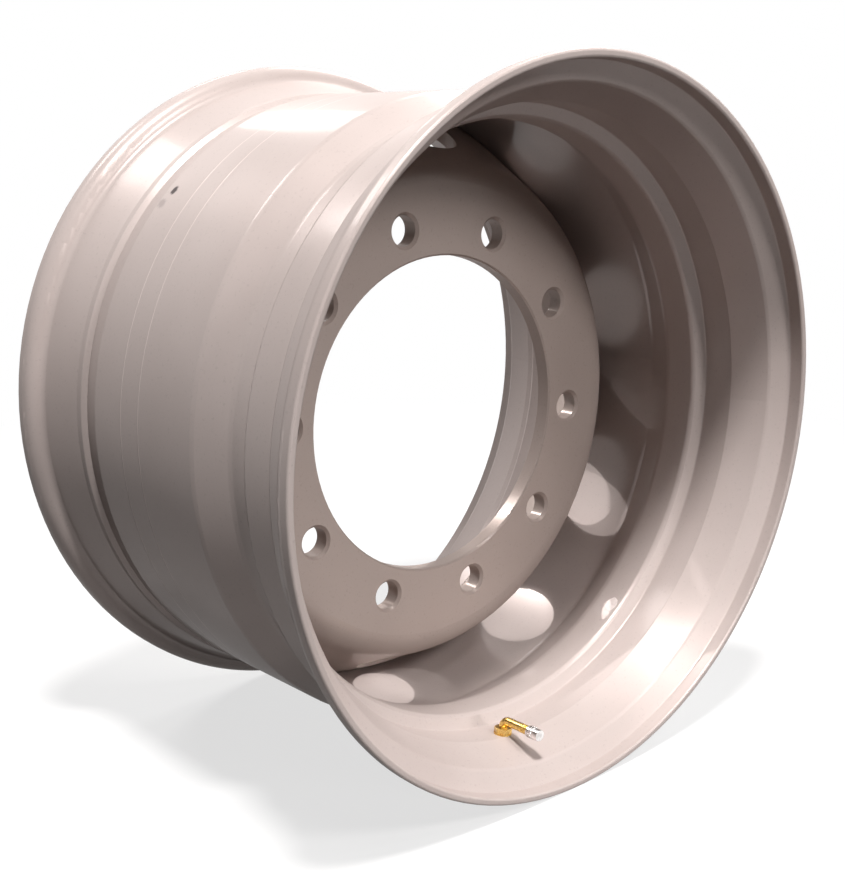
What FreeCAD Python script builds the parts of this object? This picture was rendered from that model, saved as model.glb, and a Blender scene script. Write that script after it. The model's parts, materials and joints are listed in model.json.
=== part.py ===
import FreeCAD, Part
import math
import os

import Sketcher

# Steel disc wheel for a heavy trailer, size 22.5 x 14.00 with no offset.
# The wheel turns about Y. The origin is the centre of the face that bolts to the hub,
# the side that shows the wheel nuts looks towards -Y, and +Z is up.

doc = FreeCAD.newDocument("steel_wheel")

# Driving sizes in millimetres and degrees
SIZES = [
    # Rim, as the tyre sees it
    ("bead_width", 355.6, "width between the tyre beads"),
    ("seat_diameter", 571.5, "bead seat diameter at the flange"),
    ("seat_angle", 15, "taper of the bead seats"),
    ("flange_height", 12.75, "flange above the bead seat"),
    ("flange_width", 19.2, "flange along the axle"),
    ("rim_wall", 6.5, "sheet thickness of the rim"),
    # Rim bands from front to back: lengths along the axle, depths below the bead seat
    ("lip_land", 13.3, "straight land inside the flange"),
    ("root_setback", 6.8, "inner root behind the flange face"),
    ("root_wall", 9.25, "radial thickness at the flange root"),
    ("seat_length", 31, "tapered seat at the front"),
    ("ledge_run", 9.5, "slope from the seat to the valve ledge"),
    ("ledge_lead", 2.7, "start of the ledge's tyre side before its front edge"),
    ("ledge_width", 29.1, "width of the valve ledge"),
    ("ledge_depth", 21.95, "inside of the valve ledge"),
    ("step_run", 6.7, "length of the step into the well"),
    ("well_width", 31, "floor of the well"),
    ("well_depth", 33.95, "inside of the well"),
    ("slope_run", 30.5, "slope from the well up to the leg"),
    ("leg_depth", 18.75, "inside of the straight leg"),
    ("neck_run", 18.5, "slope from the leg down to the neck"),
    ("neck_dip", 2.7, "neck below the leg"),
    ("ridge_run", 4, "slope from the neck up to the ridge"),
    ("ridge_width", 6.7, "top of the ridge"),
    ("ridge_depth", 11.15, "tyre side of the ridge"),
    # Bends of the rim
    ("flange_bend", 11.5, "outer radius at the flange top"),
    ("root_bend", 6.5, "radius at the flange root"),
    ("edge_round", 2.2, "rounding of the rim edges"),
    ("soft_bend", 12, "wide bends of the well"),
    ("tight_bend", 5, "tight bends of the well"),
    ("crease", 1.5, "rounding of the sharp creases"),
    # Disc
    ("disc_wall", 16, "thickness of the nave"),
    ("bore_diameter", 281, "centre bore"),
    ("bore_chamfer", 1.5, "chamfer of the bore"),
    ("flank_angle", 27, "angle between flank and axle"),
    ("lip_run", 44.8, "from the lip's end forward to the place that fixes the flank"),
    ("flank_depth", 12, "outside of the flank below the leg at that place"),
    ("flank_wall", 11, "thickness of the flank"),
    ("nave_bend", 28, "outer bend between nave and flank"),
    ("lip_wall", 9, "thickness of the disc lip"),
    ("lip_bend", 14, "bend between flank and lip"),
    ("disc_turn", 4.2, "turn of the disc about the axle"),
    ("stud_circle", 335, "pitch circle of the studs"),
    ("stud_count", 10, "number of studs and hand holes"),
    ("stud_hole", 26, "stud hole diameter"),
    ("stud_chamfer", 2.5, "front chamfer of the stud holes"),
    ("hand_hole", 72, "hand hole diameter"),
    ("hand_depth", 22, "hand hole centre on the flank below the leg"),
    ("weld_leg", 9, "leg of the fillet weld"),
    ("weld_margin", 0.2, "weld in front of the leg's end"),
    ("weld_gap", 0.05, "gap between disc and rim"),
    # Valve
    ("valve_turn", 186.3, "turn of the valve about the axle"),
    ("valve_place", 7.3, "valve hole behind the front edge of the ledge"),
    ("valve_hole", 9.7, "valve hole diameter"),
    ("stem_diameter", 8, "outer diameter of the stem"),
    ("stem_drop", 13, "leg axis below the ledge"),
    ("stem_bend", 6.5, "bend radius of the stem"),
    ("stem_reach", 42, "leg from the hole axis to its tip"),
    ("air_bore", 3, "air bore of the stem"),
    ("head_diameter", 14, "head of the stem"),
    ("head_height", 3, "height of the stem head"),
    ("grommet_diameter", 15, "flange of the rubber grommet"),
    ("grommet_height", 3, "flange height of the grommet"),
    ("sleeve_length", 5, "grommet sleeve in the hole"),
    ("rubber_gap", 0.1, "gap around rubber pieces"),
    ("washer_diameter", 16, "washer under the nut"),
    ("washer_height", 1.2, "washer thickness"),
    ("nut_width", 14, "nut across flats"),
    ("nut_height", 5, "nut height"),
    ("thread_gap", 0.05, "gap in the screwed joints"),
    # Valve core, measured along the leg from the tip of the stem
    ("core_bore", 5.4, "threaded bore for the core"),
    ("core_seat", 7.2, "seat of the core seal"),
    ("core_chamber", 4.6, "bore below the seat"),
    ("chamber_depth", 15.5, "depth of the chamber"),
    ("core_top", 1.6, "core body below the tip"),
    ("core_seal_height", 1.1, "core seal thickness"),
    ("core_nose", 3.9, "outer diameter of the core nose"),
    ("core_nose_length", 3, "core nose below the seat"),
    ("core_well", 3.8, "spring bore of the core body"),
    ("core_floor", 2.4, "floor below the spring"),
    ("pin_diameter", 1.2, "shank of the core pin"),
    ("pin_gap", 0.08, "running gap of the pin"),
    ("pin_top", 0.4, "pin end below the tip"),
    ("collar_diameter", 3.2, "collar of the pin"),
    ("collar_height", 0.8, "height of the pin collar"),
    ("collar_place", 1.9, "pin collar below the tip"),
    ("pin_foot_diameter", 3.7, "foot of the pin"),
    ("pin_foot_height", 1, "height of the pin foot"),
    ("pin_seal_height", 0.6, "height of the pin seal"),
    ("pin_seal_gap", 0.02, "gap above the pin seal"),
    ("spring_wire", 0.34, "wire of the core spring"),
    ("spring_mean", 2.3, "mean diameter of the spring"),
    ("spring_turns", 5, "turns of the spring"),
    ("spring_gap", 0.05, "gap at the spring ends"),
    # Valve cap
    ("cap_diameter", 10.4, "outer diameter of the cap"),
    ("cap_length", 13.5, "length of the cap"),
    ("cap_cover", 11.5, "cap length over the stem"),
    ("cap_edge", 0.5, "rounding of the cap's edges"),
    ("cap_seal_height", 0.9, "seal inside the cap"),
]

sheet = doc.addObject("Spreadsheet::Sheet", "Sizes")
for row, (alias, number, meaning) in enumerate(SIZES, start=1):
    sheet.set(f"A{row}", meaning)
    sheet.set(f"B{row}", str(number))
    sheet.setAlias(f"B{row}", alias)
doc.recompute()


def cell(alias):
    return f"Sizes.{alias}"


# Radii that several pieces share, written as formulas on the sheet
SEAT_RADIUS = "(Sizes.seat_diameter / 2)"
RIM_RADIUS = f"({SEAT_RADIUS} + Sizes.flange_height)"
LIP_RADIUS = f"({RIM_RADIUS} - Sizes.rim_wall)"
ROOT_RADIUS = f"({SEAT_RADIUS} - Sizes.root_wall)"
LEDGE_RADIUS = f"({SEAT_RADIUS} - Sizes.ledge_depth)"
LEDGE_BACK_FACE = f"({LEDGE_RADIUS} + Sizes.rim_wall)"
WELL_RADIUS = f"({SEAT_RADIUS} - Sizes.well_depth)"
WELL_BACK_FACE = f"({WELL_RADIUS} + Sizes.rim_wall)"
LEG_RADIUS = f"({SEAT_RADIUS} - Sizes.leg_depth)"
LEG_BACK_FACE = f"({LEG_RADIUS} + Sizes.rim_wall)"
RIDGE_BACK_FACE = f"({SEAT_RADIUS} - Sizes.ridge_depth)"
RIDGE_RADIUS = f"({RIDGE_BACK_FACE} - Sizes.rim_wall)"
DISC_EDGE = f"({LEG_RADIUS} - Sizes.weld_gap)"
LEG_AXIS = f"({LEDGE_RADIUS} - Sizes.stem_drop)"

# Places along the axle that several pieces share
BEAD_FACE = "(Sizes.bead_width / 2)"
HALF_WIDTH = f"({BEAD_FACE} + Sizes.flange_width)"
SEAT_END = f"(Sizes.seat_length - {BEAD_FACE})"
LEDGE_START = f"({SEAT_END} + Sizes.ledge_run)"
LEDGE_END = f"({LEDGE_START} + Sizes.ledge_width)"
WELL_START = f"({LEDGE_END} + Sizes.step_run)"
WELL_END = f"({WELL_START} + Sizes.well_width)"
LEG_START = f"({WELL_END} + Sizes.slope_run)"
RIDGE_END = f"({BEAD_FACE} - Sizes.ridge_depth / tan(Sizes.seat_angle))"
RIDGE_START = f"({RIDGE_END} - Sizes.ridge_width)"
NECK_PLACE = f"({RIDGE_START} - Sizes.ridge_run)"
LEG_END = f"({NECK_PLACE} - Sizes.neck_run)"
LIP_END = f"({LEG_END} - Sizes.weld_margin - Sizes.weld_leg)"
VALVE_PLACE = f"({LEDGE_START} + Sizes.valve_place)"
STEM_TIP = "(-Sizes.stem_reach)"


def from_tip(*aliases):
    depth = " + ".join(f"Sizes.{alias}" for alias in aliases)
    return f"({STEM_TIP} + {depth})"


def origin_plane(body, role):
    return next(item for item in body.Origin.OriginFeatures if item.Role == role)


def new_body(label):
    body = doc.addObject("PartDesign::Body", label)
    body.Label = label
    return body


def new_sketch(body, name, plane="XY_Plane", offset=None):
    sketch = body.newObject("Sketcher::SketchObject", name)
    sketch.AttachmentSupport = [(origin_plane(body, plane), "")]
    sketch.MapMode = "FlatFace"
    for axis, formula in (offset or {}).items():
        sketch.setExpression(f"AttachmentOffset.Base.{axis}", formula)
    return sketch


def bind(sketch, index, name, formula):
    sketch.renameConstraint(index, name)
    sketch.setExpression(f"Constraints.{name}", formula)


def outline(sketch, corners):
    """Closes a polygon whose corners are named (across, along) formulas."""
    count = len(corners)
    start = [
        FreeCAD.Vector(math.cos(2 * math.pi * i / count), math.sin(2 * math.pi * i / count), 0)
        for i in range(count)
    ]
    for i in range(count):
        sketch.addGeometry(Part.LineSegment(start[i], start[(i + 1) % count]), False)
    for i in range(count):
        sketch.addConstraint(Sketcher.Constraint("Coincident", i, 2, (i + 1) % count, 1))
    for i, (name, (across, along)) in enumerate(corners.items()):
        index = sketch.addConstraint(Sketcher.Constraint("DistanceX", -1, 1, i, 1, start[i].x))
        bind(sketch, index, f"{name}_across", across)
        index = sketch.addConstraint(Sketcher.Constraint("DistanceY", -1, 1, i, 1, start[i].y))
        bind(sketch, index, f"{name}_along", along)


def circle(sketch, radius, across="0 mm", along="0 mm"):
    sketch.addGeometry(Part.Circle(FreeCAD.Vector(1, 1, 0), FreeCAD.Vector(0, 0, 1), 1), False)
    index = sketch.addConstraint(Sketcher.Constraint("Radius", 0, 1))
    bind(sketch, index, "radius", radius)
    index = sketch.addConstraint(Sketcher.Constraint("DistanceX", -1, 1, 0, 3, 1))
    bind(sketch, index, "across", across)
    index = sketch.addConstraint(Sketcher.Constraint("DistanceY", -1, 1, 0, 3, 1))
    bind(sketch, index, "along", along)


def turned(body, name, corners, plane="XY_Plane", axis="V_Axis", offset=None,
           kind="PartDesign::Revolution"):
    """Turns an outline about an axis of its own sketch."""
    sketch = new_sketch(body, f"{name}_outline", plane, offset)
    outline(sketch, corners)
    feature = body.newObject(kind, name)
    feature.Profile = sketch
    feature.ReferenceAxis = (sketch, [axis])
    feature.Angle = 360
    sketch.Visibility = False
    doc.recompute()
    return feature, sketch


def corner_points(sketch, corners):
    return {name: sketch.getPoint(i, 1) for i, name in enumerate(corners)}


def ring_edges(shape, points):
    """Names the circular edges about Y that pass through the given outline points."""
    names = []
    for point in points:
        for number, edge in enumerate(shape.Edges, start=1):
            curve = edge.Curve
            if not isinstance(curve, Part.Circle):
                continue
            same_radius = abs(curve.Radius - point.x) < 0.01
            same_place = abs(curve.Center.y - point.y) < 0.01
            if same_radius and same_place:
                names.append(f"Edge{number}")
    return names


def round_corners(body, name, base, points, radius):
    fillet = body.newObject("PartDesign::Fillet", name)
    fillet.Base = (base, ring_edges(base.Shape, points))
    fillet.setExpression("Radius", radius)
    doc.recompute()
    return fillet


def solid(body, kind, name, sizes, place=None, turn=None):
    """Adds a primitive whose sizes, place and turn about one axis are formulas."""
    feature = body.newObject(kind, name)
    feature.AttachmentSupport = [(origin_plane(body, "XY_Plane"), "")]
    feature.MapMode = "FlatFace"
    for prop, formula in sizes.items():
        feature.setExpression(prop, formula)
    if turn:
        axis, formula = turn
        feature.AttachmentOffset = FreeCAD.Placement(
            FreeCAD.Vector(), FreeCAD.Rotation(FreeCAD.Vector(*axis), 1)
        )
        feature.setExpression("AttachmentOffset.Rotation.Angle", formula)
    for axis, formula in (place or {}).items():
        feature.setExpression(f"AttachmentOffset.Base.{axis}", formula)
    doc.recompute()
    return feature


def check_cut(before, feature, what):
    if feature.Shape.Volume >= before - 1:
        raise RuntimeError(f"{what} removed nothing")


def seat_beside_rim(body):
    """Places a valve piece: modelled with the hole's axis along Z, turned to its place."""
    body.Placement = FreeCAD.Placement(
        FreeCAD.Vector(), FreeCAD.Rotation(FreeCAD.Vector(0, 1, 0), 1)
    )
    body.setExpression("Placement.Base.y", VALVE_PLACE)
    body.setExpression("Placement.Rotation.Angle", cell("valve_turn"))


# Rim: one rolled band, with two flanges, two tapered seats, a ledge and a well
STEP_SHIFT = (
    "(Sizes.rim_wall * tan(atan((Sizes.well_depth - Sizes.ledge_depth)"
    " / Sizes.step_run) / 2))"
)
SEAT_DROP = "(Sizes.seat_length * tan(Sizes.seat_angle))"

rim_corners = {
    # Tyre side, front to back
    "front_edge_outer": (RIM_RADIUS, f"(-{HALF_WIDTH})"),
    "front_flange_top": (RIM_RADIUS, f"(-{BEAD_FACE})"),
    "front_seat_root": (SEAT_RADIUS, f"(-{BEAD_FACE})"),
    "front_seat_end": (f"({SEAT_RADIUS} - {SEAT_DROP})", SEAT_END),
    "ledge_start_outer": (LEDGE_BACK_FACE, f"({LEDGE_START} - Sizes.ledge_lead)"),
    "ledge_end_outer": (LEDGE_BACK_FACE, f"({LEDGE_END} + {STEP_SHIFT})"),
    "well_start_outer": (WELL_BACK_FACE, f"({WELL_START} + {STEP_SHIFT})"),
    "well_end_outer": (WELL_BACK_FACE, WELL_END),
    "leg_start_outer": (LEG_BACK_FACE, LEG_START),
    "leg_end_outer": (LEG_BACK_FACE, LEG_END),
    "neck_outer": (f"({LEG_BACK_FACE} - Sizes.neck_dip)", NECK_PLACE),
    "ridge_front_outer": (RIDGE_BACK_FACE, RIDGE_START),
    "ridge_back_outer": (RIDGE_BACK_FACE, RIDGE_END),
    "back_seat_root": (SEAT_RADIUS, BEAD_FACE),
    "back_flange_top": (RIM_RADIUS, BEAD_FACE),
    "back_edge_outer": (RIM_RADIUS, HALF_WIDTH),
    # Open side, back to front
    "back_edge_inner": (LIP_RADIUS, HALF_WIDTH),
    "back_lip_inner": (LIP_RADIUS, f"({HALF_WIDTH} - Sizes.lip_land)"),
    "back_root_inner": (ROOT_RADIUS, f"({BEAD_FACE} - Sizes.root_setback)"),
    "ridge_back_inner": (RIDGE_RADIUS, RIDGE_END),
    "ridge_front_inner": (RIDGE_RADIUS, RIDGE_START),
    "neck_inner": (f"({LEG_RADIUS} - Sizes.neck_dip)", NECK_PLACE),
    "leg_end_inner": (LEG_RADIUS, LEG_END),
    "leg_start_inner": (LEG_RADIUS, LEG_START),
    "well_end_inner": (WELL_RADIUS, WELL_END),
    "well_start_inner": (WELL_RADIUS, WELL_START),
    "ledge_end_inner": (LEDGE_RADIUS, LEDGE_END),
    "ledge_start_inner": (LEDGE_RADIUS, LEDGE_START),
    "front_root_inner": (ROOT_RADIUS, f"(Sizes.root_setback - {BEAD_FACE})"),
    "front_lip_inner": (LIP_RADIUS, f"(Sizes.lip_land - {HALF_WIDTH})"),
    "front_edge_inner": (LIP_RADIUS, f"(-{HALF_WIDTH})"),
}

rim_bends = {
    "flange_bend": ["front_flange_top", "back_flange_top"],
    "root_bend": ["front_seat_root", "back_seat_root", "front_root_inner", "back_root_inner"],
    "edge_round": [
        "front_edge_outer", "front_edge_inner", "back_edge_outer", "back_edge_inner",
    ],
    "soft_bend": ["well_end_outer", "leg_start_outer", "leg_end_outer",
                  "well_end_inner", "leg_start_inner"],
    "tight_bend": ["front_seat_end", "ledge_start_outer", "ledge_end_outer",
                   "well_start_outer", "well_start_inner"],
    "crease": [
        "ledge_start_inner", "ledge_end_inner", "front_lip_inner", "back_lip_inner",
        "ridge_front_outer", "ridge_back_outer", "ridge_front_inner", "ridge_back_inner",
        "neck_inner", "leg_end_inner",
    ],
}


def make_rim():
    body = new_body("rim")
    band, sketch = turned(body, "rim_band", rim_corners)
    points = corner_points(sketch, rim_corners)
    last = band
    for bend, corners in rim_bends.items():
        chosen = [points[name] for name in corners]
        last = round_corners(body, f"rim_{bend}", last, chosen, cell(bend))
    before = last.Shape.Volume
    hole = solid(
        body, "PartDesign::SubtractiveCylinder", "valve_hole",
        {"Radius": "Sizes.valve_hole / 2", "Height": RIM_RADIUS},
        {"y": VALVE_PLACE}, ((0, 1, 0), cell("valve_turn")),
    )
    check_cut(before, hole, "The valve hole")


# Disc: a pressed bowl with a flat nave, a flank with hand holes and a lip inside the rim
FLANK_SLOPE = "tan(Sizes.flank_angle)"
NAVE_FRONT = "(-Sizes.disc_wall)"
LIP_INNER = f"({DISC_EDGE} - Sizes.lip_wall)"
FLANK_PLACE = f"({LIP_END} - Sizes.lip_run)"
FLANK_OUTSIDE = f"({LEG_RADIUS} - Sizes.flank_depth)"
FLANK_INSIDE = f"({FLANK_OUTSIDE} - Sizes.flank_wall / cos(Sizes.flank_angle))"
HAND_RADIUS = f"({LEG_RADIUS} - Sizes.hand_depth)"


def flank_front(radius):
    """Place along the axle where the outer flank has this radius."""
    return f"({FLANK_PLACE} + ({radius} - {FLANK_OUTSIDE}) / {FLANK_SLOPE})"


def flank_back(radius):
    """Place along the axle where the inner flank has this radius."""
    return f"({FLANK_PLACE} + ({radius} - {FLANK_INSIDE}) / {FLANK_SLOPE})"


disc_corners = {
    "bore_front": ("(Sizes.bore_diameter / 2 + Sizes.bore_chamfer)", NAVE_FRONT),
    "shoulder_outer": (
        f"({FLANK_OUTSIDE} + ({NAVE_FRONT} - {FLANK_PLACE}) * {FLANK_SLOPE})",
        NAVE_FRONT,
    ),
    "lip_start_outer": (DISC_EDGE, flank_front(DISC_EDGE)),
    "lip_end_outer": (DISC_EDGE, LIP_END),
    "lip_end_inner": (LIP_INNER, LIP_END),
    "lip_start_inner": (LIP_INNER, flank_back(LIP_INNER)),
    "shoulder_inner": (
        f"({FLANK_INSIDE} - {FLANK_PLACE} * {FLANK_SLOPE})",
        "0 mm",
    ),
    "bore_back": ("(Sizes.bore_diameter / 2 + Sizes.bore_chamfer)", "0 mm"),
    "bore_back_edge": ("(Sizes.bore_diameter / 2)", "(-Sizes.bore_chamfer)"),
    "bore_front_edge": (
        "(Sizes.bore_diameter / 2)",
        f"({NAVE_FRONT} + Sizes.bore_chamfer)",
    ),
}


def hole_ring(body, base, kind, name, sizes, place, tilt):
    """Cuts one hole, tilted about X, and repeats it around the axle."""
    hole = solid(body, kind, name, sizes, place, ((1, 0, 0), tilt))
    cut = base.Shape.Volume - hole.Shape.Volume
    ring = body.newObject("PartDesign::PolarPattern", f"{name}s")
    ring.Originals = [hole]
    ring.Axis = (origin_plane(body, "Y_Axis"), [""])
    ring.Angle = 360
    ring.setExpression("Occurrences", cell("stud_count"))
    body.Tip = ring
    doc.recompute()
    if cut < 1 or base.Shape.Volume - ring.Shape.Volume < 1.5 * cut:
        raise RuntimeError(f"The ring of {name}s is not all cut")


def make_disc():
    body = new_body("disc")
    bowl, sketch = turned(body, "bowl", disc_corners)
    points = corner_points(sketch, disc_corners)
    last = round_corners(
        body, "nave_bend_outer", bowl, [points["shoulder_outer"]], cell("nave_bend")
    )
    last = round_corners(
        body, "nave_bend_inner", last, [points["shoulder_inner"]],
        "(Sizes.nave_bend - Sizes.flank_wall)",
    )
    last = round_corners(
        body, "lip_bends", last, [points["lip_start_outer"], points["lip_start_inner"]],
        cell("lip_bend"),
    )
    # Stud holes lie halfway between the hand holes, which start at the top
    half_step = "(180 / Sizes.stud_count)"
    across = f"(Sizes.stud_circle / 2 * sin({half_step}))"
    up = f"(Sizes.stud_circle / 2 * cos({half_step}))"
    hole_ring(
        body, last, "PartDesign::SubtractiveCylinder", "stud_hole",
        {"Radius": "Sizes.stud_hole / 2", "Height": "2 * Sizes.disc_wall"},
        {"x": across, "y": "Sizes.disc_wall / 2", "z": up}, "90",
    )
    hole_ring(
        body, body.Tip, "PartDesign::SubtractiveCone", "stud_chamfer",
        {
            "Radius1": "Sizes.stud_hole / 2",
            "Radius2": "Sizes.stud_hole / 2 + Sizes.stud_chamfer",
            "Height": cell("stud_chamfer"),
        },
        {"x": across, "y": f"{NAVE_FRONT} + Sizes.stud_chamfer", "z": up}, "90",
    )
    reach = "(Sizes.hand_hole / 2)"
    hole_ring(
        body, body.Tip, "PartDesign::SubtractiveCylinder", "hand_hole",
        {"Radius": "Sizes.hand_hole / 2", "Height": f"2 * {reach}"},
        {
            "y": f"{flank_front(HAND_RADIUS)} + {reach} * sin(Sizes.flank_angle)",
            "z": f"{HAND_RADIUS} - {reach} * cos(Sizes.flank_angle)",
        },
        cell("flank_angle"),
    )
    body.Placement = FreeCAD.Placement(
        FreeCAD.Vector(), FreeCAD.Rotation(FreeCAD.Vector(0, 1, 0), 1)
    )
    body.setExpression("Placement.Rotation.Angle", cell("disc_turn"))


# Fillet weld between the end of the disc lip and the inside of the rim
weld_corners = {
    "lip_side": (f"({DISC_EDGE} - Sizes.weld_leg)", LIP_END),
    "rim_corner": (DISC_EDGE, LIP_END),
    "rim_side": (DISC_EDGE, f"({LIP_END} + Sizes.weld_leg)"),
}


def make_weld():
    body = new_body("disc_weld")
    turned(body, "weld_bead", weld_corners)


# Valve stem: head under the rim, barrel through the hole, bend and leg to the front
HEAD_TOP = f"({LEDGE_BACK_FACE} + Sizes.grommet_height + Sizes.head_height)"


def stem_path(body, name):
    """Centre line of the stem in the plane of the axle and the hole."""
    sketch = new_sketch(body, name, "YZ_Plane")
    # The lines start at rough lengths, which the constraints below replace
    bend, run = 5, 30
    upright = Part.LineSegment(FreeCAD.Vector(0, run, 0), FreeCAD.Vector(0, 2 * bend, 0))
    middle = FreeCAD.Vector(-bend, 2 * bend, 0)
    arc = Part.ArcOfCircle(
        Part.Circle(middle, FreeCAD.Vector(0, 0, 1), bend), -math.pi / 2, 0
    )
    leg = Part.LineSegment(FreeCAD.Vector(-bend, bend, 0), FreeCAD.Vector(-run, bend, 0))
    for piece in (upright, arc, leg):
        sketch.addGeometry(piece, False)
    sketch.addConstraint(Sketcher.Constraint("Vertical", 0))
    sketch.addConstraint(Sketcher.Constraint("Horizontal", 2))
    sketch.addConstraint(Sketcher.Constraint("Tangent", 0, 2, 1, 2))
    sketch.addConstraint(Sketcher.Constraint("Tangent", 1, 1, 2, 1))
    sketch.addConstraint(Sketcher.Constraint("PointOnObject", 0, 1, -2))
    index = sketch.addConstraint(Sketcher.Constraint("Radius", 1, bend))
    bind(sketch, index, "bend", cell("stem_bend"))
    index = sketch.addConstraint(Sketcher.Constraint("DistanceY", -1, 1, 0, 1, run))
    bind(sketch, index, "head_top", HEAD_TOP)
    index = sketch.addConstraint(Sketcher.Constraint("DistanceY", -1, 1, 2, 2, bend))
    bind(sketch, index, "leg_axis", LEG_AXIS)
    index = sketch.addConstraint(Sketcher.Constraint("DistanceX", -1, 1, 2, 2, -run))
    bind(sketch, index, "tip", STEM_TIP)
    return sketch


def piped(body, kind, name, radius, path):
    section = new_sketch(body, f"{name}_section", "XY_Plane", {"z": HEAD_TOP})
    circle(section, radius)
    pipe = body.newObject(kind, name)
    pipe.Profile = section
    pipe.Spine = path
    section.Visibility = False
    doc.recompute()
    return pipe


def tip_bore(body, name, diameter, depth):
    """Bores the leg from its tip."""
    return solid(
        body, "PartDesign::SubtractiveCylinder", name,
        {"Radius": f"{cell(diameter)} / 2", "Height": cell(depth)},
        {"y": STEM_TIP, "z": LEG_AXIS}, ((1, 0, 0), "-90"),
    )


def make_stem():
    body = new_body("valve_stem")
    path = stem_path(body, "stem_path")
    tube = piped(body, "PartDesign::AdditivePipe", "stem_tube", "Sizes.stem_diameter / 2", path)
    head = solid(
        body, "PartDesign::AdditiveCylinder", "stem_head",
        {"Radius": "Sizes.head_diameter / 2", "Height": cell("head_height")},
        {"z": f"{LEDGE_BACK_FACE} + Sizes.grommet_height"},
    )
    before = head.Shape.Volume
    air = piped(body, "PartDesign::SubtractivePipe", "air_way", "Sizes.air_bore / 2", path)
    check_cut(before, air, "The air way")
    before = air.Shape.Volume
    chamber = tip_bore(body, "core_chamber_bore", "core_chamber", "chamber_depth")
    check_cut(before, chamber, "The core chamber")
    before = chamber.Shape.Volume
    thread = tip_bore(body, "core_thread_bore", "core_bore", "core_seat")
    check_cut(before, thread, "The core bore")
    path.Visibility = False
    seat_beside_rim(body)


# Pieces that sit on the hole's axis: outlines are (radius, place along the hole)
HOLE_CLEAR = "(Sizes.valve_hole / 2 - Sizes.rubber_gap)"
STEM_CLEAR = "(Sizes.stem_diameter / 2 + Sizes.rubber_gap)"
THREAD_CLEAR = "(Sizes.stem_diameter / 2 + Sizes.thread_gap)"
GROMMET_TOP = f"({LEDGE_BACK_FACE} + Sizes.grommet_height)"
SLEEVE_END = f"({LEDGE_BACK_FACE} - Sizes.sleeve_length)"
# The flat washer spans the curved ledge and meets it at its two edges
WASHER_BACK = f"sqrt({LEDGE_RADIUS} ^ 2 - (Sizes.washer_diameter / 2) ^ 2)"
WASHER_FACE = f"({WASHER_BACK} - Sizes.washer_height)"
NUT_FACE = f"({WASHER_FACE} - Sizes.nut_height)"


def ring_on_hole(label, corners):
    body = new_body(label)
    turned(body, f"{label}_ring", corners, "XZ_Plane")
    seat_beside_rim(body)


def make_grommet():
    ring_on_hole("valve_grommet", {
        "flange_top_inner": (STEM_CLEAR, GROMMET_TOP),
        "flange_top_outer": ("(Sizes.grommet_diameter / 2)", GROMMET_TOP),
        "flange_base": ("(Sizes.grommet_diameter / 2)", LEDGE_BACK_FACE),
        "sleeve_root": (HOLE_CLEAR, LEDGE_BACK_FACE),
        "sleeve_outer": (HOLE_CLEAR, SLEEVE_END),
        "sleeve_inner": (STEM_CLEAR, SLEEVE_END),
    })


def make_washer():
    ring_on_hole("valve_washer", {
        "top_inner": (THREAD_CLEAR, WASHER_BACK),
        "top_outer": ("(Sizes.washer_diameter / 2)", WASHER_BACK),
        "base_outer": ("(Sizes.washer_diameter / 2)", WASHER_FACE),
        "base_inner": (THREAD_CLEAR, WASHER_FACE),
    })


def make_nut():
    body = new_body("valve_nut")
    section = new_sketch(body, "nut_hexagon", "XY_Plane", {"z": NUT_FACE})
    outline(section, {
        f"corner_{i}": (
            f"(Sizes.nut_width / sqrt(3) * cos({60 * i}))",
            f"(Sizes.nut_width / sqrt(3) * sin({60 * i}))",
        )
        for i in range(6)
    })
    pad = body.newObject("PartDesign::Pad", "nut_block")
    pad.Profile = section
    pad.setExpression("Length", cell("nut_height"))
    section.Visibility = False
    doc.recompute()
    before = pad.Shape.Volume
    bore = solid(
        body, "PartDesign::SubtractiveCylinder", "nut_bore",
        {"Radius": THREAD_CLEAR, "Height": "3 * Sizes.nut_height"},
        {"z": f"{NUT_FACE} - Sizes.nut_height"},
    )
    check_cut(before, bore, "The nut bore")
    before = bore.Shape.Volume
    # The outer face of the nut is turned down to a cone of 30 degrees at its corners
    corner_radius = "(Sizes.nut_width / sqrt(3))"
    depth = f"(({corner_radius} - Sizes.nut_width / 2) * tan(30))"
    cone, _ = turned(body, "nut_cone", {
        "flat": ("(Sizes.nut_width / 2)", NUT_FACE),
        "low": (f"(2 * {corner_radius})", NUT_FACE),
        "high": (
            f"(2 * {corner_radius})",
            f"({NUT_FACE} + (2 * {corner_radius} - Sizes.nut_width / 2) * tan(30))",
        ),
    }, "XZ_Plane", kind="PartDesign::Groove")
    if cone.Shape.Volume >= before:
        raise RuntimeError("The nut cone removed nothing")
    seat_beside_rim(body)


# Pieces that sit on the leg's axis: outlines are (place along the axle, radius)
LEG_OFFSET = {"y": LEG_AXIS}
SEAT_PLACE = from_tip("core_seat")
CORE_TOP = from_tip("core_top")
NOSE_END = from_tip("core_seat", "core_nose_length")
SEAL_TOP = f"({SEAT_PLACE} - Sizes.core_seal_height)"
BARREL_RADIUS = "(Sizes.core_bore / 2 - Sizes.thread_gap)"
SPRING_FLOOR = f"({NOSE_END} - Sizes.core_floor)"
COLLAR_BACK = from_tip("collar_place", "collar_height")
PIN_SEAL_TOP = f"({NOSE_END} + Sizes.pin_seal_gap)"
FOOT_TOP = f"({PIN_SEAL_TOP} + Sizes.pin_seal_height)"


def ring_on_leg(label, corners):
    body = new_body(label)
    feature, sketch = turned(body, f"{label}_ring", corners, "YZ_Plane", "H_Axis", LEG_OFFSET)
    seat_beside_rim(body)
    return body, feature


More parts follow.
